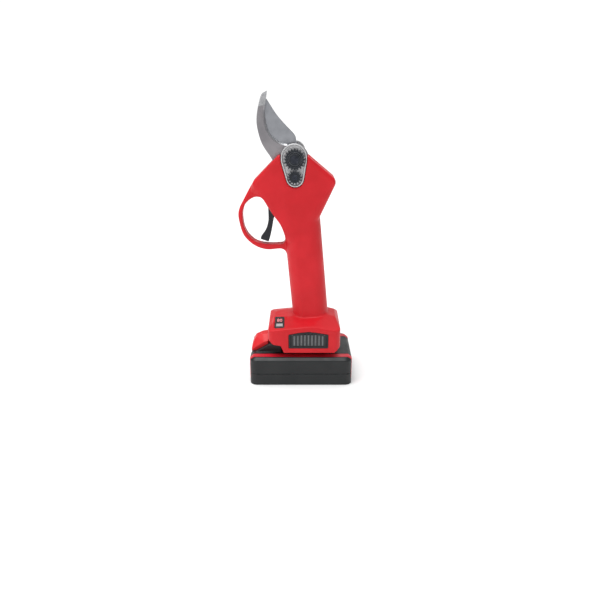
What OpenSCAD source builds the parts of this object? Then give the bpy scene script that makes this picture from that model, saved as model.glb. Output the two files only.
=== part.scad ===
// Battery electric pruner, standing upright on its slide-on battery pack.
// Millimetres. The origin is the centre of the pack's flat underside, +Z is up,
// the trigger side faces -X, and the cover plate side of the head faces -Y.

/* [Handle] */
// Height of the blade pivot above the top of the foot
handle_l = 160; // [154:1:200]
// Lean of the grip and of the drive line from upright, in degrees
tilt = 5.2; // [3:0.1:7]
// Place along X where the drive line meets the top of the foot
drive_foot_x = 8.3; // [4:0.1:12]
// Thickness of the head across the blades
head_t = 34; // [33:0.5:42]
// Depth of the grip from front to back
grip_d = 38.2; // [36:0.2:46]
// Thickness of the grip from side to side
grip_t = 33; // [32:0.5:40]
// Corner radius of the grip's section
grip_r = 13; // [8:0.5:15]
// Thickness of the trigger guard
guard_t = 13; // [10:0.5:16]
// Wall thickness of the moulded housing
wall = 2.4; // [1.8:0.1:3]

/* [Foot] */
// Height of the foot
foot_h = 39.5; // [36:0.5:50]
// Length of the foot along X
foot_l = 77; // [74:1:92]
// Width of the foot along Y
foot_w = 68; // [62:1:80]
// Width of the foot's narrow top
foot_top_w = 24; // [16:1:30]
// Slope of the display panel, in degrees
panel_slope = 24; // [20:0.5:28]
// Gap between the pack's top and the foot's underside
foot_gap = 5; // [4:0.5:7]

/* [Battery pack] */
// Length of the pack
pack_l = 110; // [104:1:140]
// Width of the pack
pack_w = 75; // [73:1:90]
// Height of the pack's body
pack_h = 31; // [31:0.5:40]
// Slope on the pack's upper edges
pack_edge = 3.5; // [3:0.5:5]
// Width of each coloured stripe
stripe_w = 7.5; // [4:0.5:8]
// Distance from the pack's side to the stripe
stripe_in = 5.5; // [5.5:0.5:9]
// Width of the rail head on the pack
rail_w = 40; // [38:1:46]
// Width of the rail's narrow stem
rail_stem_w = 32; // [30:1:34]
// Thickness of the foot's lips under the rail head
lip_t = 2.1; // [1.8:0.1:3]
// Height of the rail head
rail_head_h = 5.2; // [5:0.2:7]
// Cell diameter
cell_d = 18.3; // [18:0.1:18.6]
// Cell length
cell_l = 65; // [64:0.5:66]
// Width of the release button
release_w = 28; // [24:1:30]
// Travel of the release button
release_travel = 4; // [2:0.5:4]

/* [Blades] */
// Thickness of the fixed hook blade
hook_t = 4.5; // [3.5:0.1:5.5]
// Thickness of the moving cutting blade
blade_t = 3.5; // [3:0.1:4.2]
// Radius of both blades' round roots
hub_r = 13; // [12:0.2:14]
// Radius of the pivot bolt
bolt_r = 4; // [3.5:0.1:4.4]
// Wall of the bronze bush in the moving blade
bush_wall = 1.5; // [1:0.1:2]

/* [Adjusting nut] */
// Teeth on the adjusting nut
nut_teeth = 20; // [18:1:22]
// Teeth on the lock gear
lock_teeth = 14; // [12:1:16]
// Thickness of the nut and the lock gear
nut_t = 3.2; // [2.6:0.2:4.4]
// Depth of the recess that they sit in
recess_t = 1.6; // [1:0.2:2.4]
// Rim width of the cover plate around the nut
rim_w = 1.3; // [1:0.1:2]

/* [Drive] */
// Teeth that a full crown gear would have
crown_teeth = 44; // [44:1:44]
// Teeth on the drive pinion
pinion_teeth = 10; // [10:1:10]
// Width of the crown gear's tooth ring
crown_face = 3; // [2.4:0.1:3.4]
// Radius of the output shaft
shaft_r = 2.5; // [2:0.1:3]
// Outside diameter of the gearbox and motor
motor_d = 26.5; // [24:0.5:27]
// Length of the motor's can
motor_l = 42; // [34:1:46]
// Teeth on the sun gear, the planets and the ring
sun_teeth = 12; // [12:1:12]
planet_teeth = 9; // [9:1:9]
// Module of the planetary gears
planet_module = 0.75; // [0.7:0.01:0.76]
// Thickness of the planet gears
planet_t = 7; // [5:0.5:8]

/* [Trigger] */
// Thickness of the trigger
trigger_t = 8; // [6:0.5:9]
// Radius of the trigger's pin
trigger_pin_r = 2; // [1.6:0.1:2.4]

/* [Fits] */
// Gap between moulded parts that touch
gap = 0.2; // [0.1:0.05:0.4]
// Gap between flat faces that slide on each other
slide_gap = 0.1; // [0.05:0.05:0.2]
// Radial clearance of a shaft in its bearing
run_fit = 0.04; // [0.02:0.01:0.08]

/* [Hidden] */
$fn = 48;
hull_fn = 32;
far = 200;

red = [0.82, 0.13, 0.16];
dark_plastic = [0.13, 0.14, 0.16];
steel = [0.55, 0.56, 0.6];
silver = [0.78, 0.79, 0.8];
black_oxide = [0.17, 0.18, 0.21];
copper = [0.8, 0.5, 0.3];
board_green = [0.1, 0.35, 0.2];

// Levels
foot_z = pack_h + foot_gap;
foot_top_z = foot_z + foot_h;
pivot_z = foot_top_z + handle_l;
pivot_x = drive_foot_x - handle_l * tan(tilt);
drive_l = handle_l / cos(tilt);
foot_x = 3.5;
foot_wall_z = foot_z + 25.5;
foot_crease_z = foot_wall_z + 4;
foot_corner = 7;
foot_front_x = foot_x - foot_l / 2;
foot_back_x = foot_x + foot_l / 2;

// Layers across the head, from the near side to the far side
plate_y = -head_t / 2 - 0.5;
plate_floor_y = plate_y + recess_t;
nut_face_y = plate_floor_y - nut_t;
lug_t = 4;
hook_y = -slide_gap - hook_t;
lug_y = hook_y - lug_t;
blade_y = slide_gap;
blade_back_y = blade_y + blade_t;
pinion_r = pinion_teeth / 2;
crown_tip_y = pinion_r - 1;
crown_root_y = pinion_r + 1.2;
crown_back_y = crown_root_y + 2.8;
cheek_y = crown_back_y + 0.3;
cheek_t = 5;
cheek_back_y = cheek_y + cheek_t;
crown_r = crown_teeth / 2;
bush_r = bolt_r + run_fit + bush_wall;

// Adjusting nut and lock gear, module 1
nut_r = nut_teeth / 2;
lock_r = lock_teeth / 2;
lock_drop = nut_r + lock_r;
nut_tip_r = nut_r + 0.9;
lock_tip_r = lock_r + 0.55;
plate_top_r = nut_tip_r + rim_w + 0.4;
plate_shift = -0.7;
plate_low_r = lock_tip_r + 0.2 + rim_w * 0.65;

// Stations down the drive line, measured from the pivot
block_top = crown_r + crown_face / 2 + 1.7;
block_low = block_top + 15;
bearing_t = 5;
bearing_r = 7;
carrier_top = block_low + 2;
carrier_t = 3;
planet_top = carrier_top + carrier_t + 0.3;
ring_low = planet_top + planet_t + 1;
motor_plate_t = 2.5;
can_top = ring_low + motor_plate_t;
can_low = can_top + motor_l;
cap_low = can_low + 4;
board_top = cap_low + 4;
board_low = drive_l + foot_h * 0.35;
board_w = grip_d - 2 * wall - 8;
ring_teeth = sun_teeth + 2 * planet_teeth;
orbit_r = planet_module * (sun_teeth + planet_teeth) / 2;
rotor_r = motor_d / 2 - 4;
motor_shaft_r = 1.6;
planet_pin_r = 1;
grip_x = 1.6;

// Fixings in the head: places from the pivot along X and Z
housing_screw_at = [[-35, -27], [31.5, -24], [-16, -29], [24, -44]];
foot_screw_at = [[-25, 17.5], [34.5, 17.5]];
housing_screw_r = 1.5;
boss_r = 3.6;
hook_screw_x = 16;
hook_screw_z = -10.5;
hook_screw_r = 1.5;
ear_r = 4;
lock_screw_r = 1.5;
low_side = [cos(tilt), sin(tilt)];
block_mid = (block_low - 5) * [sin(tilt), -cos(tilt)];

// Crown gear: angles are measured from straight down the drive line towards +X
crown_from = -14;
crown_to = 64;
rivet_angles = [-5, 25, 55];
rivet_r = 1.2;

// Trigger
trigger_at = [-21, -42];
trigger_hub_r = 5.5;
magnet_r = 1.5;

// Vent inserts and display panel in the foot
vent_x = 8;
vent_l = 42;
vent_low = foot_z + 5.4;
vent_side_h = 15.6;
vent_rise = 3;
vent_depth = 3;
rib_count = 9;
rib_pitch = 3.75;
panel_l = 10;
panel_w = 17;
panel_t = 2;

// Pack
rail_stem_top = foot_z + lip_t + 0.3;
rail_top = rail_stem_top + rail_head_h;
rail_end_x = 28;
rail_front_x = -28;
cell_pitch = cell_d + 0.5;
cell_count = 5;
cell_z = cell_d / 2 + wall + 0.3;
cells_x = 0;
pack_seam_z = cell_z + 1;
release_x = -foot_l / 2 + foot_x - 0.6;
slot_w = 2.6;
blade_pitch = 8;
terminal_x = rail_end_x + 0.8;
terminal_top = rail_top + wall + gap;
lead_x = 24;
cell_top = cell_z + cell_d / 2;
pack_board_z = cell_top + 0.8;
cell_space_top = pack_board_z + 2;
well_floor = cell_space_top + 1.6;
release_low = well_floor + release_travel + 0.6;
release_top = foot_z + 11.5;
release_ridge_w = 10;
release_half_w = release_w / 2;
release_spring_y = 8;
groove_from = foot_x - 25;
stripe_t = 0.9;
pack_screw_r = 1.25;
pack_screw_x = pack_l / 2 - wall - 2.4;
pack_screw_y = pack_w / 2 - wall - 2.4;
charge_r = 3.2;
charge_z = cell_top + 1.2;

// ---------- shared shapes ----------

function curve_point(a, b, c, d, t) = 0.5 * ((2 * b) + (c - a) * t
    + (2 * a - 5 * b + 4 * c - d) * t * t + (3 * b - a - 3 * c + d) * t * t * t);

// Smooth curve through the points p
function curve(p, n = 4) = concat([for (i = [0 : len(p) - 2], k = [0 : n - 1])
    curve_point(p[max(i - 1, 0)], p[i], p[i + 1], p[min(i + 2, len(p) - 1)], k / n)],
    [p[len(p) - 1]]);

// Frame at the blade pivot
module at_pivot() translate([pivot_x, 0, pivot_z]) children();

// Frame at the pivot with -Z down the grip
module drive() at_pivot() rotate([0, -tilt, 0]) children();

// Stand an XZ outline up between two Y planes
module between(y0, y1) rotate([90, 0, 0]) translate([0, 0, -y1]) linear_extrude(y1 - y0) children();

// Round bar along Y between two planes
module bar_y(r, y0, y1) between(y0, y1) circle(r);

// Disc down the drive line between two stations
module disc(r, top, low) translate([0, 0, -low]) cylinder(r = r, h = low - top);

// Round disc across Y with softened edges
module pad(r, half, edge) {
    e = min(edge, r - 0.1);
    rotate([90, 0, 0]) for (a = [0 : 30 : 90])
        cylinder(r = r - e + e * cos(a), h = 2 * (half - e + e * sin(a)), center = true, $fn = hull_fn);
}

// Rectangle with round corners
module round_rect(l, w, r) offset(r = r) square([l - 2 * r, w - 2 * r], center = true);

// Straight-flanked gear outline: flank widths are angles at the root, pitch and tip circles
module gear_outline(teeth, root_r, pitch_r, tip_r, root_w, pitch_w, tip_w) {
    union() {
        circle(root_r + 0.01);
        for (i = [0 : teeth - 1]) rotate(i * 360 / teeth) polygon([
            [root_r * 0.7, -root_w / 2], [root_r, -root_w / 2], [pitch_r, -pitch_w / 2],
            [tip_r, -tip_w / 2], [tip_r, tip_w / 2], [pitch_r, pitch_w / 2],
            [root_r, root_w / 2], [root_r * 0.7, root_w / 2]]);
    }
}

// Closed tube through a list of rings that have the same number of points
module swept(rings) {
    count = len(rings) - 1;
    sides = len(rings[0]);
    walls = [for (i = [0 : count - 1], k = [0 : sides - 1]) let (m = (k + 1) % sides)
        [i * sides + k, i * sides + m, (i + 1) * sides + m, (i + 1) * sides + k]];
    first = [[for (k = [sides - 1 : -1 : 0]) k]];
    last = [[for (k = [0 : sides - 1]) count * sides + k]];
    polyhedron([for (ring = rings) each ring], concat(walls, first, last));
}

// Section of a coil's wire at angle a and height z, moved along the coil's tangent by shift
function coil_ring(r, wire, a, z, shift = 0, sides = 6) = [for (k = [sides - 1 : -1 : 0])
    let (b = k * 360 / sides, x = r + wire * cos(b))
        [x * cos(a) - shift * sin(a), x * sin(a) + shift * cos(a), z + wire * sin(b)]];

// Coil of round wire standing on Z = 0, with a straight leg at each end if legs gives their lengths
module coil(r, wire, h, turns, legs = [0, 0], steps = 14) {
    count = turns * steps;
    turn = [for (i = [0 : count]) coil_ring(r, wire, i * 360 / steps, wire + (h - 2 * wire) * i / count)];
    first = [if (legs[0] > 0) coil_ring(r, wire, 0, wire, -legs[0])];
    last = [if (legs[1] > 0) coil_ring(r, wire, 0, h - wire, legs[1])];
    swept(concat(first, turn, last));
}

// Upright insulated lead through points that climb in Z
module lead(path, r, sides = 8) swept([for (p = path)
    [for (k = [0 : sides - 1]) p + r * [cos(k * 360 / sides), sin(k * 360 / sides), 0]]]);

// Screw along +Z with its head's underside at Z = 0 and a hexagon socket
module screw(r, l, head_r, head_t) {
    difference() {
        union() {
            translate([0, 0, -l]) cylinder(r = r, h = l + 0.1);
            cylinder(r = head_r, h = head_t);
        }
        translate([0, 0, head_t * 0.4]) cylinder(r = head_r * 0.5, h = head_t, $fn = 6);
    }
}

// ---------- housing ----------

guard_outer = curve([[-28, -9], [-41.2, -21.6], [-52.9, -41.4], [-57.6, -51], [-58.4, -60],
    [-54.7, -75.6], [-48.3, -84.2], [-40.6, -89.9], [-32.8, -92.7], [-26, -93.3], [-15.1, -92.4],
    [-10.2, -94.8], [-8.2, -100]]);
guard_hole = curve([[-33.9, -37.8], [-38.5, -37.4], [-45.3, -40.2], [-51.3, -46.1], [-53.8, -54],
    [-53.8, -62], [-52.1, -70.7], [-48.2, -78.1], [-42.2, -83.7], [-36.2, -86.2], [-27.8, -87.4],
    [-16, -87.2], [-11.4, -86], [-10.1, -79.9], [-11.8, -72.6], [-15.2, -64.7], [-20.9, -56.8],
    [-27.1, -47.6], [-31.2, -40.6], [-33.9, -37.8]], 3);

module head_form(in) hull() {
    at_pivot() {
        translate([-14.8, 0, 0.8]) pad(3.2 - in, head_t / 2 - in, 2);
        translate([12, 0, 0.4]) pad(3.2 - in, head_t / 2 - in, 2);
        translate([-36.5, 0, -25.5]) pad(6.5 - in, head_t / 2 - 3 - in, 5);
        translate([-41, 0, -31.5]) pad(4 - in, guard_t / 2 + 2.5 - in, 3);
        translate([34, 0, -22.5]) pad(7 - in, head_t / 2 - in, 4);
        translate([15.6, 0, -58.5]) pad(9 - in, grip_t / 2 - in, 8.5);
        translate([-2, 0, -78]) pad(9 - in, grip_t / 2 - in, 8.5);
    }
}

module grip_form(in) drive() translate([grip_x, 0, -drive_l - 10]) linear_extrude(drive_l - 50)
    offset(r = grip_r - in) square([grip_d - 2 * grip_r, grip_t - 2 * grip_r], center = true);

module foot_form(in, floor_z) translate([foot_x, 0, 0]) hull() {
    translate([0, 0, floor_z]) linear_extrude(foot_wall_z - floor_z)
        round_rect(foot_l - 2 * in, foot_w - 2 * in, foot_corner - in);
    translate([-foot_x, 0, 0]) between(in - foot_top_w / 2, foot_top_w / 2 - in) offset(delta = -in)
        polygon([[foot_front_x + 0.6, foot_wall_z], [foot_front_x + 2, foot_top_z - 12.5],
            [foot_front_x + 7, foot_top_z - 9], [foot_front_x + 20, foot_top_z - 5.8],
            [foot_x + 24, foot_top_z - 3], [foot_back_x - 5, foot_top_z - 5.5],
            [foot_back_x - 2, foot_top_z - 10], [foot_back_x - 0.6, foot_wall_z]]);
    translate([grip_x + 5, 0, foot_wall_z]) linear_extrude(foot_crease_z - in - foot_wall_z)
        square([4, foot_w - 2 * in - 1], center = true);
}

// Relief under the front of the foot, over the pack's ramp, and at its rear lower corner
module foot_relief(grow) between(-far, far) offset(delta = grow) {
    polygon([[foot_x - foot_l / 2 - 20, 0], [foot_x - 21.7, 0], [foot_x - 21.7, foot_z],
        [foot_x - 25, foot_z + 8], [foot_x - 33, foot_z + 9.3], [foot_x - foot_l / 2, foot_z + 13.6],
        [foot_x - foot_l / 2 - 20, foot_z + 13.6]]);
    polygon([[foot_back_x - 8, foot_z - 1], [foot_back_x - 3.2, foot_z + 2.6], [foot_back_x, foot_z + 6],
        [foot_back_x + 9, foot_z + 6], [foot_back_x + 9, foot_z - 1]]);
}

// Teardrop that the cover plate fills, grown all round
module plate_outline(grow) hull() {
    translate([plate_shift, 0]) circle(plate_top_r + grow);
    translate([plate_shift, 2.5]) circle(plate_top_r + grow);
    translate([0.4, -lock_drop - 1]) circle(plate_low_r + grow);
}

// Places for the housing screws, with Y left at the middle plane
module at_housing_screws() {
    at_pivot() for (p = housing_screw_at) translate([p[0], 0, p[1]]) children();
    for (p = foot_screw_at) translate([foot_x + p[0] - 3.5, 0, foot_z + p[1]]) children();
}

module housing_cavity() {
    difference() {
        union() {
            head_form(wall);
            grip_form(wall);
            foot_form(wall, rail_top + 0.4 + wall);
        }
        at_pivot() between(-far, far) offset(delta = wall) polygon(guard_hole);
        foot_relief(wall);
        at_housing_screws() bar_y(boss_r, -far, far);
    }
}

module rail_tunnel() {
    x0 = foot_x - foot_l / 2 - 10;
    translate([x0, -rail_w / 2 - 0.4, foot_z + lip_t]) cube([rail_end_x + 1 - x0, rail_w + 0.8,
        rail_top + 0.4 - foot_z - lip_t]);
    translate([x0, -rail_stem_w / 2 - 0.4, 0])
        cube([rail_end_x + 1 - x0, rail_stem_w + 0.8, foot_z + lip_t + 1]);
    translate([rail_end_x + 0.5, -rail_stem_w / 2, foot_z + lip_t]) cube([5.5, rail_stem_w,
        rail_top + 0.4 + wall - foot_z - lip_t + 1]);
}

module vent_outline(grow) offset(delta = grow) polygon([[-vent_l / 2, 0], [vent_l / 2, 0],
    [vent_l / 2, vent_side_h], [vent_l / 6, vent_side_h + vent_rise * 0.8], [0, vent_side_h + vent_rise],
    [-vent_l / 6, vent_side_h + vent_rise * 0.8], [-vent_l / 2, vent_side_h]]);

module at_vent() translate([vent_x, 0, vent_low]) children();

// Frame on the near front shoulder of the foot: +Z points out of the slope
module at_panel() translate([foot_front_x + 12.2, -foot_w / 2 + (foot_w - foot_top_w) * 0.28,
    foot_wall_z + (foot_top_z - 6.5 - foot_wall_z) * 0.56 + 0.5]) rotate([panel_slope, 0, 0]) children();

module trigger_window() at_pivot() between(-trigger_t / 2 - 0.4, trigger_t / 2 + 0.4) {
    hull() {
        translate(trigger_at) circle(trigger_hub_r + 1.5);
        translate([-33, -44]) circle(1);
        translate([-17, -66]) circle(1);
        translate([-12, -50]) circle(1);
    }
}

module guard_slab(half, in) at_pivot() between(-half, half) offset(delta = -in)
    polygon(concat(guard_outer, [[0, -98], [0, -50], [-10, -20]]));

module housing_body() {
    difference() {
        union() {
            head_form(0);
            grip_form(0);
            foot_form(0, foot_z);
            for (step = [[0, 1.6], [0.5, 0.7], [1.4, 0]]) guard_slab(guard_t / 2 - step[1], step[0]);
        }
        housing_cavity();
        at_pivot() {
            between(-far, far) polygon(guard_hole);
            between(-far, far) notch_outline();
            blade_slot();
        }
        foot_relief(0);
        rail_tunnel();
        trigger_window();
        at_trigger() bar_y(trigger_pin_r + gap / 10, -trigger_t / 2 - 6, trigger_t / 2 + 6);
        at_vent() between(-foot_w / 2 - 1, -foot_w / 2 + vent_depth) vent_outline(gap / 2);
        at_vent() between(foot_w / 2 - vent_depth, foot_w / 2 + 1) vent_outline(gap / 2);
        at_panel() translate([0, 0, -panel_t]) linear_extrude(20) round_rect(panel_l + gap, panel_w + gap, 1);
        at_panel() translate([0, 0.4, -panel_t - 5]) linear_extrude(6) square([9, 14.4], center = true);
    }
}

// Notch between the two peaks of the head
module notch_outline() {
    plate_outline(0.6);
    polygon([[-15.8, 20], [plate_shift - plate_top_r - 0.6, -0.5],
        [plate_shift + plate_top_r + 0.6, -0.5], [13.2, 20]]);
}

// Room for the blades' roots through the upper edges of the head
module blade_slot() {
    between(hook_y - gap, -gap / 2 + 0.1) polygon([[-38, 20], [-26, -16], [26, -16], [22, 20]]);
    between(-gap, crown_tip_y) polygon([[-17, 20], [-20, -8], [24, -8], [17, 20]]);
}

module at_trigger() at_pivot() translate([trigger_at[0], 0, trigger_at[1]]) children();

module housing_near() color(red) {
    difference() {
        intersection() {
            housing_body();
            translate([-far, -far, 0]) cube([2 * far, far, 2 * far]);
        }
        at_housing_screws() bar_y(housing_screw_r + 0.02, -11, 1);
    }
}

module housing_far() color(red) {
    difference() {
        intersection() {
            housing_body();
            translate([-far, 0, 0]) cube([2 * far, far, 2 * far]);
        }
        at_housing_screws() bar_y(housing_screw_r + 0.02, -1, far);
        at_housing_screws() bar_y(3, 9, far);
    }
}

module housing_screws() color(black_oxide) at_housing_screws()
    translate([0, 9, 0]) rotate([-90, 0, 0]) screw(housing_screw_r, 19, 2.8, 2);

// ---------- head ----------

module cover_plate() color(silver) at_pivot() difference() {
    between(plate_y, lug_y) plate_outline(0);
    between(plate_y - 1, plate_floor_y) {
        plate_outline(-rim_w);
        circle(nut_tip_r + 0.25);
        translate([0, -lock_drop]) circle(lock_tip_r + 0.2);
    }
    bar_y(bolt_r + gap, plate_y - 1, 0);
    translate([0, 0, -lock_drop]) bar_y(lock_screw_r + 0.02, plate_y - 1, 0);
}

// Aluminium case: near lug, far cheek and the bearing block that joins them
module gear_case() color(silver) {
    difference() {
        union() {
            at_pivot() between(lug_y, hook_y) lug_outline();
            at_pivot() between(cheek_y, cheek_back_y) cheek_outline();
            drive() translate([-12.5, lug_y, -block_low])
                cube([25, cheek_back_y - lug_y, block_low - block_top]);
        }
        drive() {
            disc(bearing_r, block_top + 1, block_top + 1 + bearing_t);
            disc(bearing_r - 1.5, block_top - 1, block_low + 1);
            disc(bearing_r, block_low - 1 - bearing_t, block_low + 1);
            disc(pinion_r + 1.6, crown_r - crown_face / 2 - 1, block_top + 0.1);
        }
        at_pivot() bar_y(bolt_r + gap / 10, -far, far);
        at_pivot() for (side = [-1, 1]) translate([side * hook_screw_x, 0, hook_screw_z])
            bar_y(hook_screw_r + 0.02, -far, 0);
        at_pivot() translate([0, 0, -lock_drop]) bar_y(lock_screw_r + 0.02, -far, 0);
    }
}

// Plate that narrows from the round pivot end to the bearing block
module taper_outline() {
    circle(hub_r - 1);
    polygon([[-hub_r + 1.3, -2], [hub_r - 1.3, -2], 11 * low_side + block_mid, -11 * low_side + block_mid]);
}

module ears_outline() {
    translate([-hook_screw_x, hook_screw_z - ear_r + 0.2]) square([2 * hook_screw_x, 2 * ear_r - 0.4]);
    for (side = [-1, 1]) translate([side * hook_screw_x, hook_screw_z]) circle(ear_r);
}

module lug_outline() {
    taper_outline();
    ears_outline();
}

module cheek_outline() {
    taper_outline();
    translate([0, 6.2]) circle(hub_r - 2.2);
    translate([-hub_r + 2.4, 0]) square([2 * hub_r - 4.8, 5]);
}

hook_outer = curve([[-26.7, 63.7], [-31.3, 61.3], [-33.5, 57], [-35.6, 49], [-37, 41], [-37.3, 34],
    [-36.3, 26.7], [-33.8, 17.6], [-30.4, 10.5], [-24, 1.2], [-20, -6]]);
hook_inner = curve([[-8, 14.2], [-11, 14.4], [-15.6, 16], [-21.6, 20.4], [-26.4, 27], [-28.7, 36.4],
    [-29.4, 44], [-28.7, 50.2], [-27.7, 56.8], [-26.7, 63.7]]);

module hook_blade() color(steel) at_pivot() difference() {
    between(hook_y, -slide_gap) {
        polygon(concat(hook_outer, [[-18, -10], [0, -8], [-3, 12]], hook_inner));
        circle(hub_r + 1);
        ears_outline();
    }
    bar_y(bolt_r + gap / 10, -far, far);
    for (side = [-1, 1]) translate([side * hook_screw_x, 0, hook_screw_z])
        bar_y(hook_screw_r + 0.02, -far, far);
}

module hook_screws() color(black_oxide) at_pivot()
    for (side = [-1, 1]) translate([side * hook_screw_x, lug_y, hook_screw_z])
        rotate([90, 0, 0]) screw(hook_screw_r, lug_t + hook_t, 3, 1.8);

cutting_spine = curve([[1.6, 12.6], [1.6, 17], [-0.4, 23.1], [-10.4, 33.3], [-18.6, 42.7], [-27.6, 56.6]]);
cutting_edge = curve([[-27.6, 56.6], [-30.6, 51.5], [-32, 44], [-31.4, 36], [-28.8, 27], [-24.6, 19.6],
    [-18.6, 13.4], [-12.8, 7]]);

module cutting_blade() color(steel) at_pivot() difference() {
    between(blade_y, blade_back_y) {
        polygon(concat(cutting_spine, cutting_edge, [[-6, -6], [6, 6]]));
        circle(hub_r);
    }
    bar_y(bush_r, -far, far);
    at_crown_rivets() bar_y(rivet_r, -far, far);
}

module blade_bush() color(copper) at_pivot() difference() {
    bar_y(bush_r, blade_y + slide_gap, crown_back_y);
    bar_y(bolt_r + run_fit, -far, far);
}

module at_crown_rivets() for (a = rivet_angles) rotate([0, -a, 0])
    translate([0, 0, -hub_r + 3]) children();

module crown_gear() color(steel) difference() {
    drive() difference() {
        union() {
            intersection() {
                union() {
                    bar_y(crown_r - crown_face / 2 - 0.5, blade_back_y, crown_back_y);
                    bar_y(crown_r + crown_face / 2, crown_tip_y, crown_back_y);
                }
                between(-far, far) polygon([[0, 0], for (a = [crown_from, 0, 30, crown_to])
                    60 * [sin(a), -cos(a)]]);
            }
            bar_y(hub_r - 1, blade_back_y, crown_back_y);
        }
        for (i = [-1 : 7]) rotate([0, -i * 360 / crown_teeth, 0]) crown_space();
        bar_y(bush_r, -far, far);
    }
    at_pivot() at_crown_rivets() bar_y(rivet_r, -far, far);
}

// One tooth space of the crown gear, cut radially
module crown_space() translate([0, 0, -crown_r - crown_face / 2 - 1]) linear_extrude(crown_face + 2.4)
    polygon([[-1.35, crown_tip_y - 1], [-1.35, crown_tip_y - 0.1], [-0.93, pinion_r], [-0.5, crown_root_y],
        [0.5, crown_root_y], [0.93, pinion_r], [1.35, crown_tip_y - 0.1], [1.35, crown_tip_y - 1]]);

module crown_rivets() color(silver) at_pivot() at_crown_rivets()
    bar_y(rivet_r, blade_y + 0.1, crown_back_y);

module thrust_washer() color(copper) at_pivot() difference() {
    bar_y(bolt_r + 3, crown_back_y + slide_gap, cheek_y);
    bar_y(bolt_r + gap / 10, -far, far);
}

module pivot_bolt() color(black_oxide) at_pivot() {
    bar_y(bolt_r, nut_face_y - 0.5, cheek_back_y);
    difference() {
        bar_y(8, cheek_back_y, cheek_back_y + 3.4);
        between(cheek_back_y + 1.6, far) circle(3.2, $fn = 6);
    }
}

module adjusting_nut() color(black_oxide) at_pivot() difference() {
    between(nut_face_y, plate_floor_y) gear_outline(nut_teeth, nut_r - 1.2, nut_r - 0.2,
        nut_tip_r, 1.8, 1.2, 0.5);
    bar_y(bolt_r + 0.02, -far, far);
    between(nut_face_y - 1, nut_face_y + 0.9) difference() {
        circle(nut_r - 3);
        circle(nut_r - 4.2);
    }
}

module lock_gear() color(black_oxide) at_pivot() translate([0, 0, -lock_drop]) difference() {
    between(nut_face_y, plate_floor_y) rotate(90 + 180 / lock_teeth)
        gear_outline(lock_teeth, lock_r - 1.6, lock_r - 0.2, lock_tip_r, 1.3, 0.95, 0.4);
    bar_y(lock_screw_r + 0.02, -far, far);
    bar_y(3, nut_face_y - 1, nut_face_y + 1.2);
}

module lock_screw() color(black_oxide) at_pivot() translate([0, nut_face_y + 1.2, -lock_drop])
    rotate([90, 0, 0]) screw(lock_screw_r, hook_y - nut_face_y - 1.4, 2.8, 1.6);

// ---------- drive line ----------

module drive_pinion() color(steel) drive() difference() {
    translate([0, 0, -crown_r - crown_face / 2]) linear_extrude(crown_face) rotate(90)
        gear_outline(pinion_teeth, pinion_r - 1.25, pinion_r, pinion_r + 0.9, 1.7, 1.27, 0.6);
    disc(shaft_r, 0, far);
}

module output_bearings() color(silver) drive() for (top = [block_top + 1, block_low - 1 - bearing_t])
    difference() {
        disc(bearing_r, top, top + bearing_t);
        disc(shaft_r + run_fit, top - 1, top + bearing_t + 1);
        for (face = [top - 0.5, top + bearing_t - 0.5]) difference() {
            disc(bearing_r - 1.3, face, face + 1);
            disc(shaft_r + 1.4, face - 1, face + 2);
        }
    }

// Output shaft in one piece with the plate that carries the planet pins
module planet_carrier() color(steel) drive() {
    disc(shaft_r, crown_r - crown_face / 2 - 0.5, carrier_top + 1);
    disc(orbit_r + 2, carrier_top, carrier_top + carrier_t);
    for (i = [0 : 2]) rotate(i * 120) translate([orbit_r, 0, 0])
        disc(planet_pin_r, carrier_top + carrier_t - 0.1, planet_top + planet_t);
}

module planet_gear(index) color(silver) drive() rotate(index * 120)
    translate([orbit_r, 0, -planet_top - planet_t]) difference() {
        linear_extrude(planet_t) fine_gear(planet_teeth);
        translate([0, 0, -1]) cylinder(r = planet_pin_r + run_fit, h = planet_t + 2);
    }

module planet_gear_1() planet_gear(0);
module planet_gear_2() planet_gear(1);
module planet_gear_3() planet_gear(2);

// Planetary gear outline with a tooth on +X
module fine_gear(teeth) {
    m = planet_module;
    gear_outline(teeth, m * (teeth / 2 - 1.05), m * teeth / 2, m * (teeth / 2 + 0.75),
        m * 1.65, m * 1.3, m * 0.7);
}

module ring_gear() color(silver) drive() difference() {
    disc(motor_d / 2, block_low, ring_low);
    disc(orbit_r + 2.5, block_low + 1.5, planet_top - 0.2);
    disc(shaft_r + 1, block_low - 1, ring_low);
    translate([0, 0, -ring_low - 1]) linear_extrude(ring_low - planet_top + 1.3) ring_spaces();
}

// Inside of the ring gear, with a tooth space on +X
module ring_spaces() {
    m = planet_module;
    inner = m * (ring_teeth / 2 - 0.7);
    circle(inner);
    for (i = [0 : ring_teeth - 1]) rotate(i * 360 / ring_teeth) polygon([
        [inner - 1, -m * 1.25], [inner, -m * 1.15], [m * ring_teeth / 2, -m * 0.92],
        [m * (ring_teeth / 2 + 1.05), -m * 0.6], [m * (ring_teeth / 2 + 1.05), m * 0.6],
        [m * ring_teeth / 2, m * 0.92], [inner, m * 1.15], [inner - 1, m * 1.25]]);
}

module sun_gear() color(silver) drive() difference() {
    translate([0, 0, -planet_top - planet_t]) linear_extrude(planet_t) fine_gear(sun_teeth);
    disc(motor_shaft_r, 0, far);
}

module motor_rotor() color(copper) drive() {
    disc(motor_shaft_r, planet_top, cap_low - 1);
    disc(rotor_r, can_top + 3, can_low - 3);
}

module motor_can() color(black_oxide) drive() difference() {
    disc(motor_d / 2, ring_low, can_low);
    disc(rotor_r + 0.6, can_top, can_low + 1);
    disc(motor_shaft_r + run_fit, 0, far);
}

module motor_end_cap() color(dark_plastic) drive() difference() {
    disc(motor_d / 2, can_low, cap_low);
    disc(motor_shaft_r + run_fit, 0, far);
}

// ---------- trigger ----------

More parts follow.
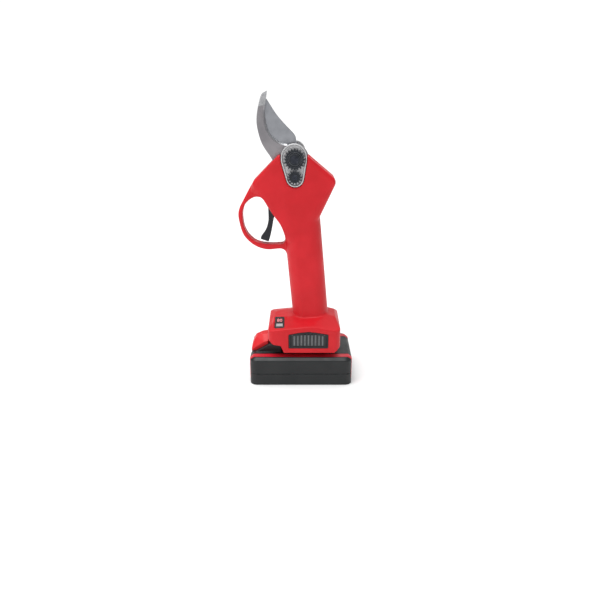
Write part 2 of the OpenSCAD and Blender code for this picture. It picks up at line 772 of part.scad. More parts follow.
trigger_front = curve([[-27.6, -44.5], [-27.5, -52.7], [-27.5, -61.7], [-28.9, -68.3], [-31.1, -73.8],
    [-35.2, -79.4]]);
trigger_back = curve([[-27.6, -85], [-25.4, -78], [-23.7, -70], [-22, -61], [-18.4, -50]]);

module trigger() color(dark_plastic) difference() {
    at_pivot() between(-trigger_t / 2, trigger_t / 2) {
        polygon(concat(trigger_front, [[-36, -81], [-35.6, -82.3]], trigger_back,
            [[-15.8, -44], trigger_at]));
        translate(trigger_at) circle(trigger_hub_r);
    }
    at_trigger() bar_y(trigger_pin_r + run_fit, -far, far);
    at_trigger() bar_y(4.4, -1.6, 1.6);
    at_trigger() between(-1.6, 1.6) polygon([[0, -3], [12, -3], [12, 8], [0, 8]]);
    at_magnet() bar_y(magnet_r, -1.5, 1.5);
}

module at_magnet() at_trigger() translate([-1.5, 0, -9]) children();

module trigger_magnet() color(silver) at_magnet() bar_y(magnet_r, -1.5, 1.5);

module trigger_pin() color(steel) at_trigger()
    bar_y(trigger_pin_r, -trigger_t / 2 - 5.8, trigger_t / 2 + 5.8);

// Torsion spring round the pin: the short leg bears on the trigger, the long leg on the housing
module trigger_spring() color(steel) at_trigger() translate([0, 1.5, 0]) rotate([90, 0, 0]) rotate(-60)
    coil(3, 0.3, 3, 3, [2, 8]);

module sensor_board() color(board_green) at_pivot() translate([-10.9, -6, -61]) rotate([0, -tilt, 0])
    cube([1.4, 12, 13]);

// ---------- electronics ----------

module control_board() color(board_green) drive() translate([grip_x - board_w / 2, -1, -board_low])
    cube([board_w, 1.6, board_low - board_top]);

// Transistors and capacitors on the board's near face, in one row each
module power_parts() color(black_oxide) drive() {
    rows = floor((board_low - board_top - 16) / 9);
    for (i = [0 : rows - 1], side = [-1, 1]) translate([grip_x + side * 6 - 4, -4, -board_top - 10 - i * 9])
        cube([8, 3, 6]);
    translate([grip_x, 7.2, -board_low + 14]) cylinder(r = 4.5, h = 14);
    translate([grip_x - 1, 0.6, -board_low + 17]) cube([2, 3, 8]);
}

// Three motor leads from the end cap to the face of the board
module motor_leads() color("gold") drive() for (i = [-1 : 1]) lead([[i * 5, 1.6, -board_top - 7],
    [i * 5, 1.6, -board_top - 1], [i * 5, 4, -cap_low - 1], [i * 5, 4, -cap_low]], 0.9);

// Two leads from the terminal block up to the lower end of the board
module battery_leads() color("black") for (side = [-1, 1]) lead([
    [terminal_x + 2.5, side * 6, terminal_top], [terminal_x + 2.5, side * 6, terminal_top + 3],
    [lead_x, side * 6 + 2, terminal_top + 6], [lead_x, side * 6 + 2, foot_top_z - 4]], 1.2);

module display_bezel() color(dark_plastic) at_panel() difference() {
    translate([0, 0, -panel_t]) linear_extrude(panel_t + 0.4) round_rect(panel_l, panel_w, 1);
    translate([0, 3.4, -panel_t - 1]) linear_extrude(10) square([7.2, 7.4], center = true);
    translate([0, -4.4, -panel_t - 1]) linear_extrude(10) square([7.2, 4.2], center = true);
}

module display_window() color([0.6, 0.62, 0.66]) at_panel() translate([0, 3.4, -panel_t])
    linear_extrude(panel_t + 0.1) square([7, 7.2], center = true);

module power_button() color([0.5, 0.5, 0.52]) at_panel() translate([0, -4.4, -panel_t + 0.2])
    linear_extrude(panel_t + 0.9) square([6.8, 3.8], center = true);

module display_board() color(board_green) at_panel() difference() {
    translate([0, 0.4, -panel_t - 1.6]) linear_extrude(1.5) square([8.6, 14], center = true);
    translate([0, -4.4, -panel_t - 3]) linear_extrude(10) square([7.6, 4.6], center = true);
}

// ---------- foot ----------

module vent_panel() {
    difference() {
        at_vent() between(-foot_w / 2 + 0.4, -foot_w / 2 + vent_depth) vent_outline(0);
        at_vent() between(-foot_w / 2, -foot_w / 2 + 1.4) vent_outline(-1.6);
    }
    at_vent() for (i = [0 : rib_count - 1]) {
        x = (i - (rib_count - 1) / 2) * rib_pitch;
        h = vent_side_h - 5.6 + vent_rise * (1 - abs(x) / (vent_l / 2));
        translate([x - 0.7, -foot_w / 2 + 0.7, 3]) cube([1.4, 1.5, h]);
    }
}

module vent_near() color(dark_plastic) vent_panel();
module vent_far() color(dark_plastic) mirror([0, 1, 0]) vent_panel();

module terminal_block() color(dark_plastic) difference() {
    translate([terminal_x, -rail_stem_w / 2 + gap, foot_z + lip_t + gap])
        cube([5, rail_stem_w - 2 * gap, terminal_top - foot_z - lip_t - gap]);
    for (i = [-1.5 : 1 : 1.5]) translate([0, i * blade_pitch - 0.4, foot_z + lip_t + 1.2])
        cube([terminal_x + 4.2, 0.8, 4]);
}

module terminal_blades() color(copper) for (i = [-1.5 : 1 : 1.5])
    translate([rail_end_x - 13, i * blade_pitch - 0.4, foot_z + lip_t + 1.2]) cube([18, 0.8, 4]);

// ---------- battery pack ----------

module pack_form(in) hull() {
    translate([0, 0, in]) linear_extrude(pack_h - pack_edge + 0.5 - in)
        round_rect(pack_l - 2 * in, pack_w - 2 * in, 8 - in, $fn = hull_fn);
    translate([0, 0, in]) linear_extrude(pack_h - 2 * in)
        round_rect(pack_l - 2 * (pack_edge + in), pack_w - 2 * (pack_edge + in), 5 - in / 2, $fn = hull_fn);
}

module stripe_band(grow) for (side = [-1, 1])
    translate([-far, side * (pack_w / 2 - stripe_in - stripe_w / 2) - stripe_w / 2 - grow, 6])
        cube([2 * far, stripe_w + 2 * grow, far]);

// Side outline of the rail and of the ramp that leads up to it
module rail_side() polygon([[rail_end_x, pack_h - 1], [rail_end_x, rail_top], [rail_front_x, rail_top],
    [rail_front_x - 3, rail_top - 3], [rail_front_x - 8, rail_top - 4.6], [-pack_l / 2 + 4.5, pack_h - 0.5],
    [-pack_l / 2 + 5.5, pack_h - 1]]);

// Well in the case that the release button sinks into
module release_well() translate([-pack_l / 2 - 1, -release_half_w - 0.3, well_floor])
    cube([release_x + pack_l / 2 + 1.6, release_w + 0.6, far]);

module pack_upper_case() color(dark_plastic) difference() {
    union() {
        difference() {
            pack_form(0);
            stripe_band(gap / 4);
        }
        intersection() {
            pack_form(stripe_t);
            stripe_band(1);
        }
        between(-rail_w / 2, rail_w / 2) rail_side();
    }
    translate([-far, -far, -1]) cube([2 * far, 2 * far, pack_seam_z + 1]);
    pack_hollow(0, cell_space_top);
    rail_grooves();
    release_well();
    for (i = [-1.5 : 1 : 1.5]) translate([rail_end_x - 16, i * blade_pitch - slot_w / 2, pack_h + 2])
        cube([far, slot_w, far]);
    for (i = [0 : 4], side = [-1, 1])
        translate([rail_end_x - 24 - i * 5, side * (rail_w / 2 - 4), rail_top - 3]) cylinder(r = 1.4, h = 4);
    translate([pack_l / 2 - 12, 0, charge_z]) rotate([0, 90, 0]) cylinder(r = charge_r + 0.05, h = 20);
    at_pack_screws() cylinder(r = pack_screw_r + 0.02, h = 16);
}

// Grooves under the rail head where the foot's lips run
module rail_grooves() for (side = [0, 1]) mirror([0, side, 0])
    translate([groove_from, rail_stem_w / 2, pack_h]) cube([far, far, rail_stem_top - pack_h]);

module pack_lower_case() color(dark_plastic) difference() {
    union() {
        difference() {
            pack_form(0);
            stripe_band(gap / 4);
        }
        intersection() {
            pack_form(stripe_t);
            stripe_band(1);
        }
    }
    translate([-far, -far, pack_seam_z]) cube([2 * far, 2 * far, far]);
    pack_hollow(wall, far);
    at_pack_screws() {
        cylinder(r = pack_screw_r + 0.02, h = far);
        translate([0, 0, -1]) cylinder(r = 2.3, h = 3);
    }
}

// Room for the cells, less the four screw bosses in its corners
module pack_hollow(low, high) difference() {
    translate([0, 0, low]) linear_extrude(high - low) round_rect(pack_l - 2 * wall, pack_w - 2 * wall, 5.6);
    at_pack_screws() cylinder(r = 3.3, h = far * 2);
}

module pack_stripes() color(red) difference() {
    intersection() {
        pack_form(0);
        stripe_band(0);
    }
    pack_form(stripe_t);
}

module at_pack_screws() for (x = [-1, 1], y = [-1, 1])
    translate([x * pack_screw_x, y * pack_screw_y, 0]) children();

module pack_screws() color(black_oxide) at_pack_screws() translate([0, 0, 2]) rotate([180, 0, 0])
    screw(pack_screw_r, 12, 2.2, 1.4);

module release_button() color(red) {
    difference() {
        hull() {
            between(-release_ridge_w / 2, release_ridge_w / 2) polygon([[release_x, release_low],
                [release_x, release_top], [release_x - 7, release_top - 1.2],
                [release_x - 14.2, release_top - 4.6], [release_x - 17.2, release_top - 9.2],
                [-pack_l / 2 + 0.2, release_low + 1], [-pack_l / 2 + 0.4, release_low]]);
            between(-release_half_w, release_half_w) polygon([[release_x, release_low],
                [release_x, release_top - 5.5], [release_x - 5, release_top - 7],
                [release_x - 14, release_top - 12.5], [-pack_l / 2 + 0.6, release_low + 1],
                [-pack_l / 2 + 0.8, release_low]]);
        }
        for (side = [-1, 1]) translate([release_x - 9, side * release_spring_y, release_low - 1])
            cylinder(r = 3.2, h = 7);
    }
}

module release_springs() color(silver) for (side = [-1, 1])
    translate([release_x - 9, side * release_spring_y, well_floor])
        coil(2.2, 0.4, release_low + 6 - well_floor, 5);

module battery_cells() color([0.2, 0.45, 0.6]) for (i = [0 : cell_count - 1])
    translate([cells_x + (i - (cell_count - 1) / 2) * cell_pitch, 0, cell_z])
        bar_y(cell_d / 2, -cell_l / 2, cell_l / 2);

module cell_holder() color(dark_plastic) difference() {
    for (y = [-cell_l / 2 + 4, cell_l / 2 - 10])
        translate([cells_x - cell_count * cell_pitch / 2, y, wall + 0.1])
            cube([cell_count * cell_pitch, 6, cell_d + 0.2]);
    for (i = [0 : cell_count - 1]) translate([cells_x + (i - (cell_count - 1) / 2) * cell_pitch, 0, cell_z])
        bar_y(cell_d / 2 + 0.02, -far, far);
}

module pack_board() color(board_green) translate([-18, -rail_stem_w / 2 + 1, pack_board_z])
    cube([46, rail_stem_w - 2, 1.4]);

// Sprung contact pairs that the foot's terminal blades slide between
module pack_contacts() color(copper) for (i = [-1.5 : 1 : 1.5], side = [-1, 1])
    translate([rail_end_x - 15, i * blade_pitch + side * 0.95 - 0.25, pack_h + 2]) cube([9, 0.5, 7]);

module charge_socket() color(black_oxide) translate([0, 0, charge_z]) rotate([0, 90, 0]) {
    difference() {
        translate([0, 0, pack_l / 2 - 8]) cylinder(r = charge_r, h = 8);
        translate([0, 0, pack_l / 2 - 6.5]) cylinder(r = 2.7, h = 10);
    }
    translate([0, 0, pack_l / 2 - 7]) cylinder(r = 1, h = 6);
}

housing_near();
housing_far();
housing_screws();
cover_plate();
gear_case();
hook_blade();
hook_screws();
cutting_blade();
blade_bush();
crown_gear();
crown_rivets();
thrust_washer();
pivot_bolt();
adjusting_nut();
lock_gear();
lock_screw();
drive_pinion();
output_bearings();
planet_carrier();
planet_gear_1();
planet_gear_2();
planet_gear_3();
ring_gear();
sun_gear();
motor_rotor();
motor_can();
motor_end_cap();
trigger();
trigger_magnet();
trigger_pin();
trigger_spring();
sensor_board();
control_board();
power_parts();
motor_leads();
battery_leads();
display_bezel();
display_window();
power_button();
display_board();
vent_near();
vent_far();
terminal_block();
terminal_blades();
pack_upper_case();
pack_lower_case();
pack_stripes();
release_button();
release_springs();
battery_cells();
cell_holder();
pack_board();
pack_contacts();
charge_socket();
pack_screws();
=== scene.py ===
import math

import bmesh
import bpy
import numpy as np
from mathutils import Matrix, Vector
from mathutils.kdtree import KDTree


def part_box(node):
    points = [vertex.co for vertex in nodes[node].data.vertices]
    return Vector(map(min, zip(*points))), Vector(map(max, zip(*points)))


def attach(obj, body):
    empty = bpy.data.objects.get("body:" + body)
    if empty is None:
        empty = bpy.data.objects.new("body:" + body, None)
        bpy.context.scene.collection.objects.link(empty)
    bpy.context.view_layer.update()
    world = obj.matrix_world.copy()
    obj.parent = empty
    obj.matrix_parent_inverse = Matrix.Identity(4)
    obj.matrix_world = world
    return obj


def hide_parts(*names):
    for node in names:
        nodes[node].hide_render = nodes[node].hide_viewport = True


MM = 0.001

# Where the photo was taken from, in mm and degrees
CAMERA_PLACE = (-1, -579, 287)
CAMERA_LENS = 33.6
CAMERA_DROP = 19.3

# Strength of the white world as it lights the scene and as the camera sees it
SKY_LIGHT = 0.5
SKY_SEEN = 1.05

# The grip's lean, half depth, half width and forward shift, in degrees and mm
GRIP_LEAN = 5.2
GRIP_HALF_DEPTH = 19.1
GRIP_HALF_WIDTH = 16.5
GRIP_SHIFT = 1.6

# The foot's top above the vents and the waist's depth below the pivot, in mm
FOOT_TOP_RISE = 15.5
WAIST_DROP = 67

# Tilt of the display panel, in degrees
PANEL_TILT = 24

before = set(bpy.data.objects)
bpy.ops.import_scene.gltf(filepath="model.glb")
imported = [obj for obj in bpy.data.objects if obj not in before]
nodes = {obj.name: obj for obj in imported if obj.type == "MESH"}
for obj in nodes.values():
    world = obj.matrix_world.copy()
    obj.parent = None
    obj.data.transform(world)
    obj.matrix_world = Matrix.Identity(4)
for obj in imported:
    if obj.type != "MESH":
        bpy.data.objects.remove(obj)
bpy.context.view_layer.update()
scene = bpy.context.scene

# ---------- camera, light and floor ----------

camera = bpy.data.objects.new("camera", bpy.data.cameras.new("camera"))
scene.collection.objects.link(camera)
camera.data.lens = CAMERA_LENS
camera.data.sensor_width = 36
camera.data.clip_start = 0.01
camera.location = Vector(CAMERA_PLACE) * MM
camera.rotation_euler = (math.radians(90 - CAMERA_DROP), 0, 0)
scene.camera = camera

scene.view_settings.view_transform = "Standard"


def studio_world():
    """White world that lights the scene softly and looks fully white to the camera."""
    world = bpy.data.worlds.new("studio")
    world.use_nodes = True
    tree = world.node_tree
    backdrop = tree.nodes["Background"]
    backdrop.inputs["Color"].default_value = (1, 1, 1, 1)
    seen = tree.nodes.new("ShaderNodeLightPath").outputs["Is Camera Ray"]
    strength = tree.nodes.new("ShaderNodeMapRange")
    strength.inputs["To Min"].default_value = SKY_LIGHT
    strength.inputs["To Max"].default_value = SKY_SEEN
    tree.links.new(seen, strength.inputs["Value"])
    tree.links.new(strength.outputs["Result"], backdrop.inputs["Strength"])
    return world


scene.world = studio_world()

sun = bpy.data.objects.new("sun", bpy.data.lights.new("sun", "SUN"))
sun.data.energy = 2.6
sun.data.angle = math.radians(45)
sun.rotation_euler = Vector((0.18, 0.08, -0.98)).to_track_quat("-Z", "Y").to_euler()
scene.collection.objects.link(sun)


def area_light(name, place, target, size, power):
    light = bpy.data.lights.new(name, "AREA")
    light.shape = "RECTANGLE"
    light.size, light.size_y = size
    light.energy = power
    lamp = bpy.data.objects.new(name, light)
    scene.collection.objects.link(lamp)
    lamp.location = place
    aim = Vector(target) - Vector(place)
    lamp.rotation_euler = aim.to_track_quat("-Z", "Y").to_euler()


area_light("front_left", (-0.9, -0.8, 0.5), (0, 0, 0.15), (0.5, 0.8), 2)
area_light("behind", (0.3, 1.1, 0.9), (0, 0, 0.15), (0.9, 0.7), 2)


# ---------- materials ----------

class Shader:
    """A Principled material whose colour, roughness and bump come from nodes on object coordinates."""

    def __init__(self, name, metallic=0.0, **fixed):
        self.material = bpy.data.materials.new(name)
        self.material.use_nodes = True
        self.tree = self.material.node_tree
        self.surface = self.tree.nodes["Principled BSDF"]
        self.surface.inputs["Metallic"].default_value = metallic
        for socket, value in fixed.items():
            self.surface.inputs[socket.replace("_", " ")].default_value = value
        self.place = self.tree.nodes.new("ShaderNodeTexCoord").outputs["Object"]

    def link(self, output, target):
        self.tree.links.new(output, target)

    def stretched(self, scale, turn=(0, 0, 0)):
        node = self.tree.nodes.new("ShaderNodeMapping")
        node.inputs["Scale"].default_value = scale
        node.inputs["Rotation"].default_value = turn
        self.link(self.place, node.inputs["Vector"])
        return node.outputs["Vector"]

    def noise(self, pitch_mm, detail=2.0, where=None):
        node = self.tree.nodes.new("ShaderNodeTexNoise")
        node.inputs["Scale"].default_value = 1 / (pitch_mm * MM)
        node.inputs["Detail"].default_value = detail
        self.link(where or self.place, node.inputs["Vector"])
        return node.outputs["Fac"]

    def cells(self, pitch_mm):
        node = self.tree.nodes.new("ShaderNodeTexVoronoi")
        node.inputs["Scale"].default_value = 1 / (pitch_mm * MM)
        self.link(self.place, node.inputs["Vector"])
        return node.outputs["Distance"]

    def ramp(self, value, low, high, low_out=0.0, high_out=1.0):
        node = self.tree.nodes.new("ShaderNodeMapRange")
        node.inputs["From Min"].default_value = low
        node.inputs["From Max"].default_value = high
        node.inputs["To Min"].default_value = low_out
        node.inputs["To Max"].default_value = high_out
        self.link(value, node.inputs["Value"])
        return node.outputs["Result"]

    def maths(self, kind, a, b):
        node = self.tree.nodes.new("ShaderNodeMath")
        node.operation = kind
        for socket, value in zip(node.inputs, (a, b)):
            if isinstance(value, (int, float)):
                socket.default_value = value
            else:
                self.link(value, socket)
        return node.outputs[0]

    def mix(self, share, a, b):
        node = self.tree.nodes.new("ShaderNodeMix")
        node.data_type = "RGBA"
        self.link(share, node.inputs["Factor"])
        for socket, value in ((node.inputs[6], a), (node.inputs[7], b)):
            if isinstance(value, tuple):
                socket.default_value = (*value, 1)
            else:
                self.link(value, socket)
        return node.outputs[2]

    def attribute(self, name):
        node = self.tree.nodes.new("ShaderNodeAttribute")
        node.attribute_name = name
        return node.outputs["Fac"]

    def edges(self, low=0.52, high=0.6):
        node = self.tree.nodes.new("ShaderNodeNewGeometry")
        return self.ramp(node.outputs["Pointiness"], low, high)

    def finish(self, colour, roughness, bumps=()):
        self.link(colour, self.surface.inputs["Base Color"])
        self.link(roughness, self.surface.inputs["Roughness"])
        below = None
        for height, depth_mm in bumps:
            bump = self.tree.nodes.new("ShaderNodeBump")
            bump.inputs["Distance"].default_value = depth_mm * MM
            self.link(height, bump.inputs["Height"])
            if below:
                self.link(below, bump.inputs["Normal"])
            below = bump.outputs["Normal"]
        if below:
            self.link(below, self.surface.inputs["Normal"])
        return self.material


def moulded(name, dark, light, rough=0.42, grain_mm=0.35, grain_depth=0.02, worn=None, **fixed):
    """Moulded plastic: faint flow mottling, a fine sparked grain and lighter handled edges."""
    s = Shader(name, **fixed)
    colour = s.mix(s.ramp(s.noise(22, 4), 0.35, 0.65), dark, light)
    if worn:
        wear = s.maths("MULTIPLY", s.edges(), s.ramp(s.noise(3, 4), 0.4, 0.7))
        colour = s.mix(wear, colour, worn)
    roughness = s.ramp(s.noise(9, 3), 0.3, 0.7, rough - 0.05, rough + 0.07)
    return s.finish(colour, roughness, [(s.noise(grain_mm, 2), grain_depth), (s.noise(14, 2), 0.06)])


def turned(name, dark, light, rough=0.3, pitch=4.0, depth=0.01, metallic=1.0, worn=None, **fixed):
    """Turned or plated metal part: smooth, with slight stains, tool marks and rubbed edges."""
    s = Shader(name, metallic=metallic, **fixed)
    colour = s.mix(s.ramp(s.noise(pitch, 5), 0.35, 0.65), dark, light)
    if worn:
        colour = s.mix(s.edges(0.515, 0.56), colour, worn)
    roughness = s.ramp(s.noise(pitch * 0.6, 4), 0.3, 0.7, rough - 0.07, rough + 0.1)
    return s.finish(colour, roughness, [(s.noise(0.25, 2), depth)])


def cast(name, dark, light):
    """Cast aluminium: pebbled skin, darker in the pits and brighter on rubbed edges."""
    s = Shader(name, metallic=0.85)
    pits = s.noise(1.1, 5)
    colour = s.mix(s.ramp(pits, 0.38, 0.62), dark, light)
    colour = s.mix(s.edges(0.51, 0.56), colour, (0.92, 0.92, 0.93))
    roughness = s.ramp(s.noise(2.2, 4), 0.3, 0.7, 0.3, 0.5)
    return s.finish(colour, roughness, [(pits, 0.12), (s.cells(0.5), 0.03)])


def circuit(name):
    """Green lacquered circuit board with a faint copper pattern under the lacquer."""
    s = Shader(name, Coat_Weight=0.6, Coat_Roughness=0.15)
    tracks = s.ramp(s.cells(2.4), 0.28, 0.32)
    colour = s.mix(tracks, (0.015, 0.11, 0.045), (0.03, 0.19, 0.08))
    return s.finish(colour, s.ramp(s.noise(6, 2), 0.3, 0.7, 0.35, 0.5), [(tracks, 0.01)])


red = moulded("red_shell", (0.56, 0.006, 0.012), (0.63, 0.009, 0.017), 0.42, worn=(0.80, 0.06, 0.07),
              Specular_IOR_Level=0.3)
red_button = moulded("red_button", (0.60, 0.009, 0.015), (0.68, 0.013, 0.02), 0.38, worn=(0.82, 0.12, 0.12),
                     Specular_IOR_Level=0.35)
red_stripe = moulded("red_stripe", (0.50, 0.006, 0.02), (0.58, 0.010, 0.028), 0.36, Specular_IOR_Level=0.35)
# The black is darker than the plastic's own black: painted shade standing for dark surroundings in its
# reflections.
black = moulded("black_plastic", (0.006, 0.008, 0.009), (0.010, 0.012, 0.013), 0.42, worn=(0.07, 0.075, 0.08),
                Specular_IOR_Level=0.4)
trigger_black = moulded("trigger_black", (0.005, 0.006, 0.010), (0.009, 0.011, 0.017), 0.38,
                        worn=(0.03, 0.034, 0.045), Specular_IOR_Level=0.4)
grey = moulded("grey_plastic", (0.10, 0.105, 0.11), (0.14, 0.145, 0.15), 0.5)
button_grey = moulded("button_grey", (0.36, 0.36, 0.37), (0.44, 0.44, 0.45), 0.45)
gear_steel = turned("gear_steel", (0.33, 0.33, 0.35), (0.5, 0.5, 0.52), 0.33)
bright = turned("bright_steel", (0.55, 0.56, 0.58), (0.72, 0.73, 0.75), 0.22)
oxide = turned("black_oxide", (0.022, 0.025, 0.034), (0.045, 0.05, 0.065), 0.34, metallic=0.75)
oxide_worn = turned("oxide_worn", (0.012, 0.015, 0.020), (0.024, 0.028, 0.036), 0.34, metallic=0.5,
                    worn=(0.26, 0.27, 0.29))
bronze = turned("bronze", (0.42, 0.24, 0.09), (0.58, 0.36, 0.16), 0.35)
copper = turned("copper", (0.60, 0.27, 0.14), (0.78, 0.40, 0.24), 0.32)
aluminium = cast("aluminium", (0.34, 0.34, 0.35), (0.56, 0.56, 0.57))
board = circuit("board")
lead_red = moulded("lead_red", (0.5, 0.02, 0.02), (0.6, 0.03, 0.03), 0.5)
cell_wrap = moulded("cell_wrap", (0.03, 0.12, 0.22), (0.05, 0.18, 0.3), 0.3, Coat_Weight=0.4)


def blade_material(name, dark, light, edge_tone, rough):
    """Coated blade steel with an attribute that marks where the coating is ground away and, on the hook's
    bevel near the hub, a painted highlight.
    """
    s = Shader(name, metallic=1.0)
    lines = s.noise(0.45, 3, s.stretched((1, 1, 0.05), (0, math.radians(-28), 0)))
    colour = s.mix(s.ramp(s.noise(16, 4), 0.3, 0.7), dark, light)
    colour = s.mix(s.maths("MULTIPLY", s.ramp(lines, 0.5, 0.75), 0.35), colour, light)
    streaks = s.noise(0.7, 4, s.stretched((1, 1, 0.07)))
    bare_and_highlight = s.mix(s.ramp(streaks, 0.3, 0.7), tuple(0.72 * c for c in edge_tone), edge_tone)
    ground_and_highlight = s.attribute("bare_and_highlight")
    colour = s.mix(ground_and_highlight, colour, bare_and_highlight)
    roughness = s.maths("ADD", s.ramp(s.noise(6, 4), 0.3, 0.7, rough - 0.05, rough + 0.08),
                        s.maths("MULTIPLY", ground_and_highlight, -0.06))
    return s.finish(colour, roughness, [(lines, 0.008), (s.maths("MULTIPLY", streaks, ground_and_highlight), 0.03)])


hook_steel = blade_material("hook_steel", (0.26, 0.25, 0.265), (0.36, 0.345, 0.36), (0.72, 0.73, 0.75), 0.36)
cutter_steel = blade_material("cutter_steel", (0.30, 0.31, 0.335), (0.42, 0.43, 0.46), (0.78, 0.78, 0.8), 0.33)


def vent_material():
    """Dark plastic whose raised ribs, marked by an attribute, are lightened as a painted highlight."""
    s = Shader("vent_black", Specular_IOR_Level=0.4)
    base = s.mix(s.ramp(s.noise(5, 3), 0.35, 0.65), (0.007, 0.008, 0.010), (0.012, 0.014, 0.016))
    # Painted highlight: the raised ribs are lightened in patches, standing for the light they catch above the
    # dark slots.
    rib_highlight = s.maths("MULTIPLY", s.attribute("bare_and_highlight"), s.ramp(s.noise(1.5, 4), 0.2, 0.6, 0.5, 1.0))
    colour = s.mix(rib_highlight, base, (0.15, 0.155, 0.16))
    return s.finish(colour, s.ramp(s.noise(4, 3), 0.3, 0.7, 0.4, 0.52), [(s.noise(0.35, 2), 0.02)])


def window_material():
    s = Shader("window", Coat_Weight=1.0, Coat_Roughness=0.05)
    colour = s.mix(s.ramp(s.noise(4, 2), 0.3, 0.7), (0.035, 0.012, 0.014), (0.055, 0.02, 0.022))
    return s.finish(colour, s.ramp(s.noise(2, 3), 0.3, 0.7, 0.12, 0.24))


def lit_material():
    s = Shader("lit_segment", Emission_Strength=0.35)
    glow = s.mix(s.ramp(s.noise(0.8, 2), 0.3, 0.7), (1.0, 0.30, 0.32), (1.0, 0.42, 0.43))
    s.link(glow, s.surface.inputs["Emission Color"])
    return s.finish(glow, s.ramp(s.noise(2, 2), 0.3, 0.7, 0.3, 0.4))


def floor_material():
    s = Shader("floor")
    colour = s.mix(s.ramp(s.noise(300, 2), 0.3, 0.7), (0.90, 0.90, 0.90), (0.92, 0.92, 0.92))
    return s.finish(colour, s.ramp(s.noise(200, 2), 0.3, 0.7, 0.75, 0.85))


window, lit, vent_black = window_material(), lit_material(), vent_material()

floor_mesh = bpy.data.meshes.new("floor")
floor_mesh.from_pydata([(-8, -8, 0), (8, -8, 0), (8, 8, 0), (-8, 8, 0)], [], [(0, 1, 2, 3)])
floor = bpy.data.objects.new("floor", floor_mesh)
scene.collection.objects.link(floor)
floor_mesh.materials.append(floor_material())


# ---------- mesh tools ----------

def add_piece(name, mesh, material, body, slot, *replaced):
    piece = bpy.data.objects.new(name, mesh)
    scene.collection.objects.link(piece)
    mesh.materials.clear()
    mesh.materials.append(material)
    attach(piece, body)
    if replaced:
        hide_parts(*replaced)
    return piece


def joined_copy(names):
    """One bmesh that holds copies of the named CAD nodes."""
    bm = bmesh.new()
    for name in names:
        bm.from_mesh(nodes[name].data)
    bmesh.ops.remove_doubles(bm, verts=bm.verts, dist=0.005 * MM)
    return bm


def with_modifiers(bm, *steps):
    """The bmesh through modifiers, each given as (kind, settings). A group is given as vertex weights."""
    mesh = bpy.data.meshes.new("work")
    bm.to_mesh(mesh)
    bm.free()
    return mesh_with_modifiers(mesh, *steps)


def mesh_with_modifiers(mesh, *steps):
    work = bpy.data.objects.new("work", mesh)
    scene.collection.objects.link(work)
    for kind, settings in steps:
        modifier = work.modifiers.new(kind, kind)
        for key, value in settings.items():
            if key == "weights":
                group = work.vertex_groups.new(name="weights")
                for level in range(1, 11):
                    chosen = np.nonzero(np.round(value * 10) == level)[0]
                    if len(chosen):
                        group.add(chosen.tolist(), level / 10, "REPLACE")
                modifier.vertex_group = "weights"
            else:
                setattr(modifier, key, value)
    graph = bpy.context.evaluated_depsgraph_get()
    result = bpy.data.meshes.new_from_object(work.evaluated_get(graph))
    bpy.data.objects.remove(work)
    bpy.data.meshes.remove(mesh)
    result.polygons.foreach_set("use_smooth", np.ones(len(result.polygons), bool))
    return result


def remeshed(names, voxel_mm, passes=4):
    return with_modifiers(
        joined_copy(names),
        ("REMESH", {"mode": "VOXEL", "voxel_size": voxel_mm * MM}),
        ("SMOOTH", {"factor": 0.5, "iterations": passes}),
    )


def points_of(mesh):
    points = np.empty(len(mesh.vertices) * 3, np.float32)
    mesh.vertices.foreach_get("co", points)
    return points.reshape(-1, 3).astype(float)


def set_points(mesh, points):
    mesh.vertices.foreach_set("co", points.astype(np.float32).ravel())
    mesh.update()


def smoothstep(x):
    x = np.clip(x, 0, 1)
    return x * x * (3 - 2 * x)


# ---------- housing ----------

pivot = np.mean(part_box("blade_bush"), axis=0)
foot_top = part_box("vent_near")[1][2] + FOOT_TOP_RISE * MM

panel_turn = math.radians(PANEL_TILT)
panel_mid = Vector(np.mean(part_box("display_bezel"), axis=0))
panel_up = Vector((0, math.cos(panel_turn), math.sin(panel_turn)))
panel_out = Vector((0, -math.sin(panel_turn), math.cos(panel_turn)))


def raise_panel_pad(mesh):
    """Skin drawn up around the display panel, so that the panel sits in a low pad.

    The pad's top is pad_top above the panel's middle. Skin beyond pad_across or pad_up from
    the middle fades back to the slope, and the skin's inner face and the panel's pocket stay.
    """
    pad_top, pad_across, pad_up, fade = 0.85, 6.2, 9.5, 2.2
    p = points_of(mesh)
    from_mid = p - np.array(panel_mid)
    across = np.abs(from_mid[:, 0]) / MM
    falls = 0.3 * np.maximum(-from_mid[:, 0] / MM - 1, 0)
    up = from_mid @ np.array(panel_up) / MM
    out = from_mid @ np.array(panel_out) / MM
    beyond = np.hypot(np.maximum(across - pad_across, 0), np.maximum(np.abs(up) - pad_up, 0))
    share = smoothstep(1 - beyond / fade)
    share *= (across > 4.8) | (np.abs(up) > 8.3)
    share *= (out > -1.3 - 0.14 * up - falls) & (out < pad_top)
    p += (share * (pad_top - out))[:, None] * np.array(panel_out) * MM
    set_points(mesh, p)


